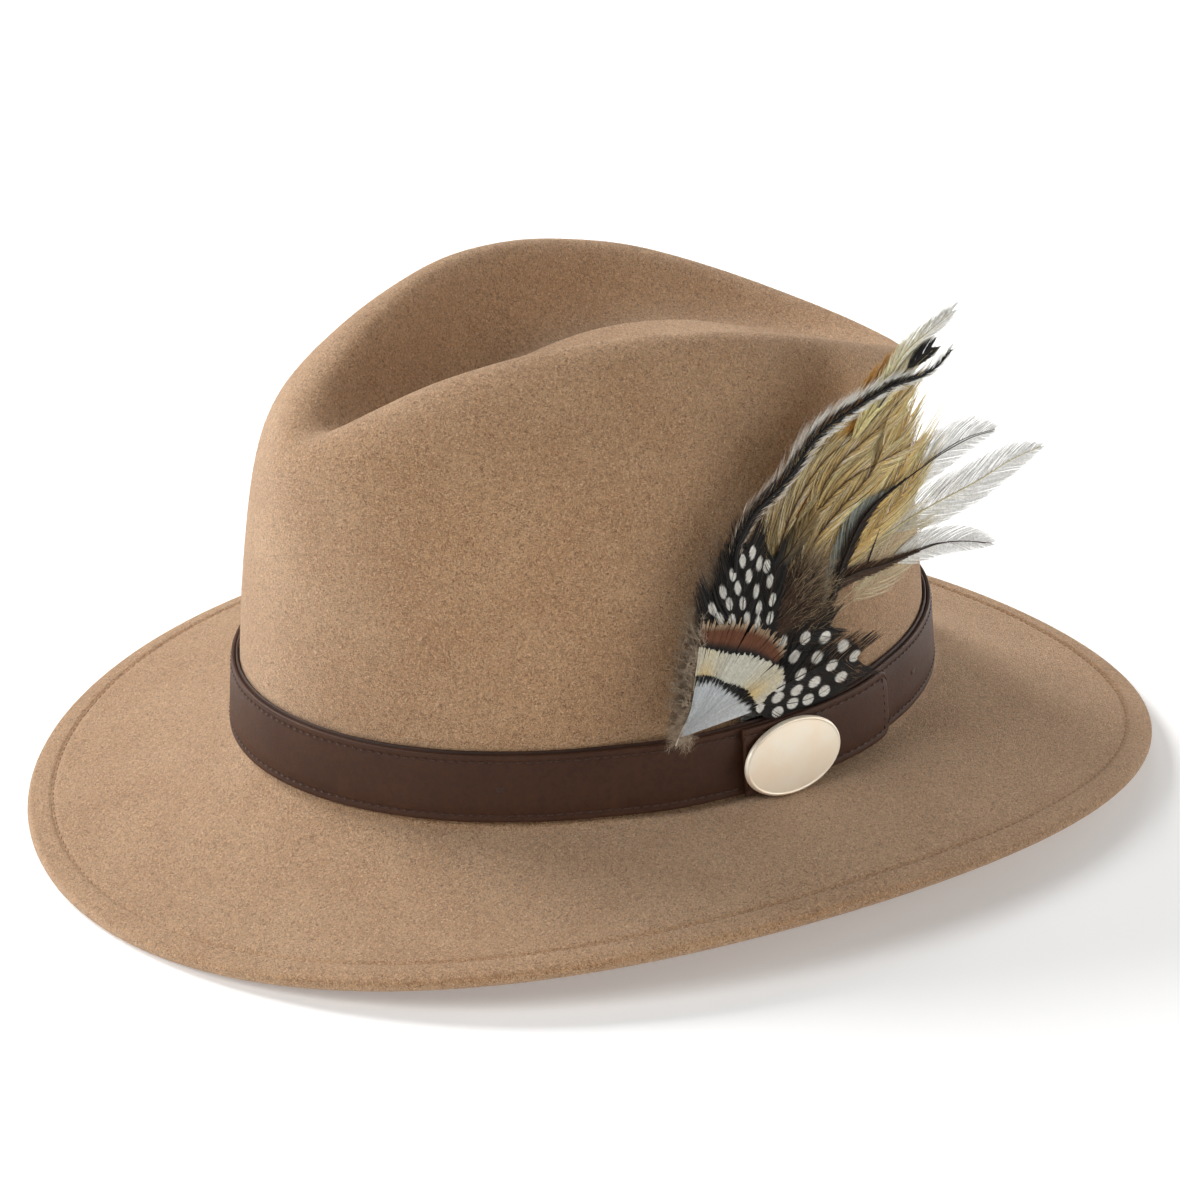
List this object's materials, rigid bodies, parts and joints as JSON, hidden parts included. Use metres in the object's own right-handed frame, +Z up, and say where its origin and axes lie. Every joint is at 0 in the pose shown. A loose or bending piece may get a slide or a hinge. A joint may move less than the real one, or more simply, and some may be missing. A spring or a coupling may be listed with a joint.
{
  "type": "fedora hat",
  "caption": "Fedora hat of wool felt with a creased, pinched crown, a stitched flat brim, a leather band with an oval badge and a removable feather brooch.",
  "frame": {"origin": "on the surface the hat stands on, under the middle of the brim", "axes": "+Z up, front of the hat towards -Y, wearer's left side (badge and feathers) towards +X"},
  "size_m": [0.2858, 0.3364, 0.1547],
  "materials": {
    "felt": "brushed wool felt, short fibre nap",
    "felt_thread": "spun thread, tone on tone",
    "brim_wire_steel": "drawn wire",
    "sweatband_leather": "smooth, semi-matt",
    "reed": "plain",
    "bow_ribbon": "ribbon weave",
    "lining_satin": "satin",
    "label_cloth": "woven, plain",
    "band_leather": "grained, semi-matt",
    "band_thread": "twisted thread",
    "badge_metal": "rose gold plate, satin with a polished bevel",
    "pin_steel": "nickel plated wire",
    "backing_felt": "stiffened felt",
    "feather_down": "loose downy barbs",
    "feather_white": "thin, translucent barbs",
    "feather_brown": "barbed vane",
    "feather_gold": "barbed vane",
    "feather_orange": "barbed vane",
    "feather_badger": "dark middle, white edges",
    "feather_tipped": "cream with a dark tip",
    "feather_guinea": "black with rows of white dots",
    "feather_rust": "barbed vane",
    "feather_cream": "barbed vane",
    "feather_grey": "barbed vane with a pale edge"
  },
  "bodies": {
    "hat": {"felt_body": "felt", "brim_wire": "brim_wire_steel", "brim_stitching": "felt_thread", "sweatband": "sweatband_leather", "sweatband_reed": "reed", "sweatband_stitching": "felt_thread", "sweatband_bow": "bow_ribbon", "lining_side": "lining_satin", "lining_tip": "lining_satin", "size_label": "label_cloth", "care_label": "label_cloth", "hat_band": "band_leather", "band_backing": "band_leather", "band_stitching": "band_thread", "band_tab": "band_leather", "tab_stitching": "band_thread", "tack_stitches": "band_thread", "badge": "badge_metal", "badge_prongs": "badge_metal", "badge_washers": "pin_steel"},
    "brooch": {"brooch_backing": "backing_felt", "quill_binding": "bow_ribbon", "pin_bar": "pin_steel", "pin_clasp": "pin_steel", "pin_rivet": "pin_steel", "down_fringe": "feather_down", "white_plumes": "feather_white", "brown_hackles": "feather_brown", "golden_hackles": "feather_gold", "orange_hackle": "feather_orange", "badger_hackle": "feather_badger", "pheasant_tips": "feather_tipped", "guinea_upper": "feather_guinea", "guinea_side": "feather_guinea", "rust_feather": "feather_rust", "cream_feather": "feather_cream", "grey_feather": "feather_grey"},
    "needle": {"pin_needle": "pin_steel"}
  },
  "joints": [
    {"name": "brooch_slide", "type": "slide", "parent": "hat", "child": "brooch", "axis": [-0.0549, 0, 0.9985], "range_m": [0, 0.03]},
    {"name": "pin_hinge", "type": "hinge", "parent": "brooch", "child": "needle", "pos_m": [0.08779, -0.00035, 0.05795], "axis": [-0.9879, -0.0691, -0.1392], "range_deg": [0, 55]}
  ]
}
